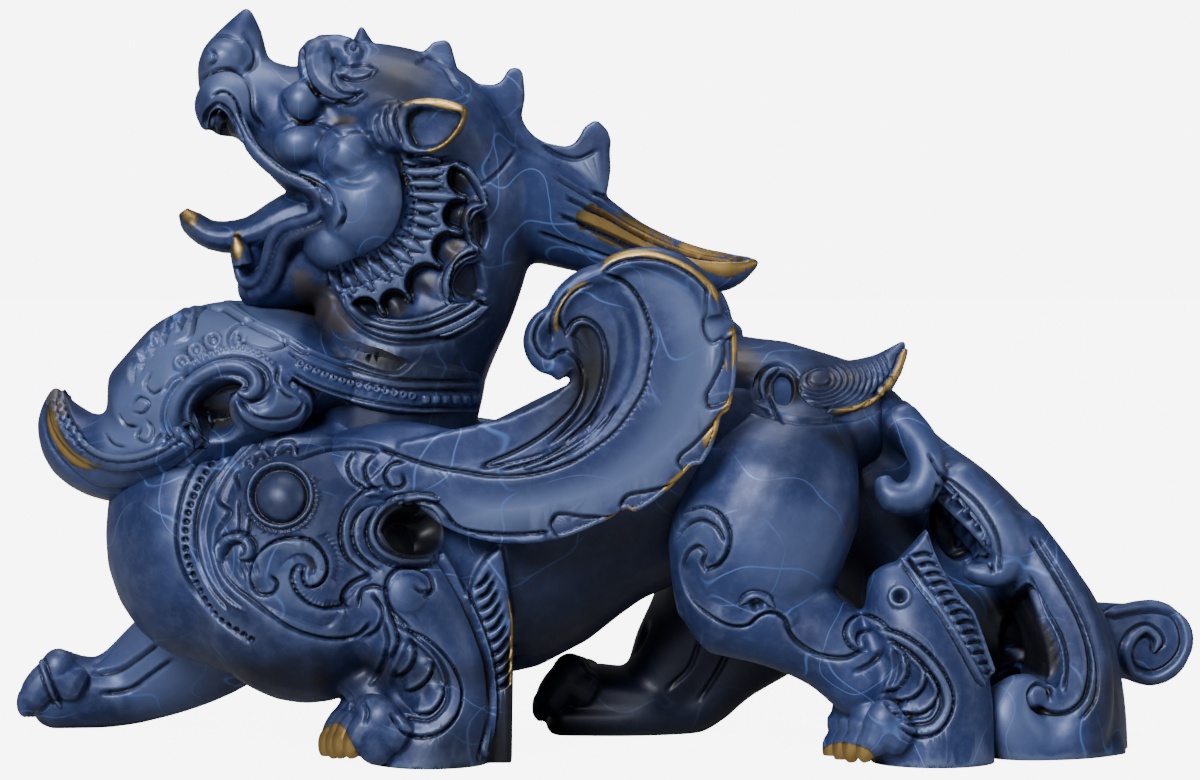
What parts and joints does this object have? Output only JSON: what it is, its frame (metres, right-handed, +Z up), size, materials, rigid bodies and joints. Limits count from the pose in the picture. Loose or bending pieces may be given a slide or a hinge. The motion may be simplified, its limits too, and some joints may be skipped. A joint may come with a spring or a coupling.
{
  "type": "guardian beast figurine",
  "caption": "Cast brass figurine of a winged guardian beast striding with its head thrown back and mouth open, finished in veined blue patina with bright worn edges.",
  "frame": {"origin": "middle of the bounding box, on the ground under the feet", "axes": "+X along the body from head to tail, -Y towards the beast's left side, +Z up"},
  "size_m": [0.243, 0.081, 0.148],
  "materials": {
    "patinated_brass": "semi-gloss dark blue patina with fine pale blue veins, rubbed through to bright brass on tips and edges"
  },
  "bodies": {
    "root": {"guardian_beast": "patinated_brass"}
  },
  "joints": []
}
